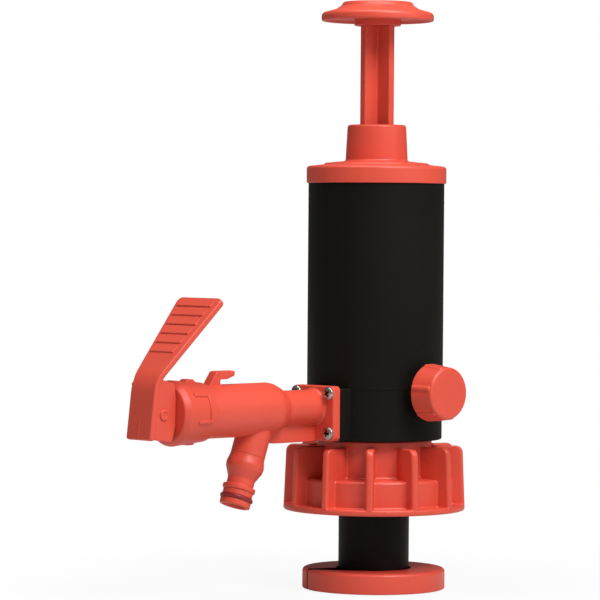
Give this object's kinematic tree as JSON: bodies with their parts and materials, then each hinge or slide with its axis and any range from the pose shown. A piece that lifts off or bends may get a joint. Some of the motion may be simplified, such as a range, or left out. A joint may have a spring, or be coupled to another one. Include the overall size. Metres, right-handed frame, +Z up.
{
  "type": "drum barrel pump",
  "caption": "Hand-plunged air pump for drums: ribbed clamp nut on a bung tube, upright pump cylinder, thumb-lever tap with a down-turned spout, and a side relief cap.",
  "frame": {"origin": "centre of the foot plate's underside, at the mouth of the dip-tube socket in the riser tube", "axes": "+Z up the pump's axis towards the knob; the tap points along -Y and the relief cap along +X"},
  "size_m": [0.1415, 0.2966, 0.4315],
  "materials": {
    "red_plastic": "semi-gloss moulded",
    "black_plastic": "satin moulded",
    "pale_plastic": "natural moulded",
    "steel": "bright",
    "black_rubber": "matt",
    "maroon_rubber": "satin"
  },
  "bodies": {
    "base": {"foot_plate": "red_plastic", "neck_tube": "black_plastic", "nut_clip": "steel", "riser_tube": "black_plastic", "pump_body": "black_plastic", "valve_plate": "black_plastic", "plate_seal": "black_rubber", "check_valve_clip": "steel", "top_cap": "red_plastic", "cap_seal": "black_rubber", "rod_guide_bush": "pale_plastic", "rod_wiper": "black_rubber", "tap_gasket": "black_rubber", "tap_body": "red_plastic", "tap_screws": "steel", "valve_seat": "black_rubber", "spout_nozzle": "red_plastic", "spout_seal": "maroon_rubber", "tap_collar": "red_plastic", "stem_gland": "pale_plastic", "stem_seal": "black_rubber", "return_spring": "steel", "relief_nipple": "black_plastic"},
    "plunger": {"plunger_rod": "red_plastic", "piston": "black_plastic", "piston_cup_seal": "black_rubber", "piston_washer": "steel", "piston_screw": "steel", "knob": "red_plastic", "knob_cap": "red_plastic", "knob_screw": "steel"},
    "nut": {"clamp_nut": "red_plastic", "drum_gasket": "black_rubber"},
    "check_valve": {"check_valve_disc": "black_rubber"},
    "stem": {"valve_stem": "black_plastic", "poppet_seal": "black_rubber", "lever_pin": "steel"},
    "lever": {"lever": "red_plastic"},
    "relief_stem": {"relief_stem": "black_plastic", "relief_seal": "black_rubber"},
    "relief_cap": {"relief_cap": "red_plastic"}
  },
  "joints": [
    {"name": "plunger_slide", "type": "slide", "parent": "base", "child": "plunger", "axis": [0, 0, 1], "range_m": [-0.07, 0]},
    {"name": "nut_spin", "type": "hinge", "parent": "base", "child": "nut", "pos_m": [0, 0, 0.084], "axis": [0, 0, 1], "continuous": true},
    {"name": "check_valve_lift", "type": "slide", "parent": "base", "child": "check_valve", "axis": [0, 0, 1], "range_m": [-0.003, 0], "stiffness_N_per_m": 60, "springref_m": 0.004},
    {"name": "stem_slide", "type": "slide", "parent": "base", "child": "stem", "axis": [0, -1, 0], "range_m": [0, 0.006], "deforming": ["return_spring"]},
    {"name": "lever_tilt", "type": "hinge", "parent": "stem", "child": "lever", "pos_m": [0, -0.217, 0.1355], "axis": [-1, 0, 0], "range_deg": [0, 25], "stiffness_Nm_per_rad": 0.6, "springref_deg": -22.92},
    {"name": "relief_lift", "type": "slide", "parent": "base", "child": "relief_stem", "axis": [1, 0, 0], "range_m": [0, 0.002]},
    {"name": "relief_turn", "type": "hinge", "parent": "relief_stem", "child": "relief_cap", "pos_m": [0.06, 0, 0.1463], "axis": [1, 0, 0], "range_deg": [0, 360]}
  ],
  "couplings": [
    {"joint": "stem_slide", "follows": "lever_tilt", "m_per_rad": 0.01375},
    {"joint": "relief_lift", "follows": "relief_turn", "m_per_rad": 0.000317}
  ]
}
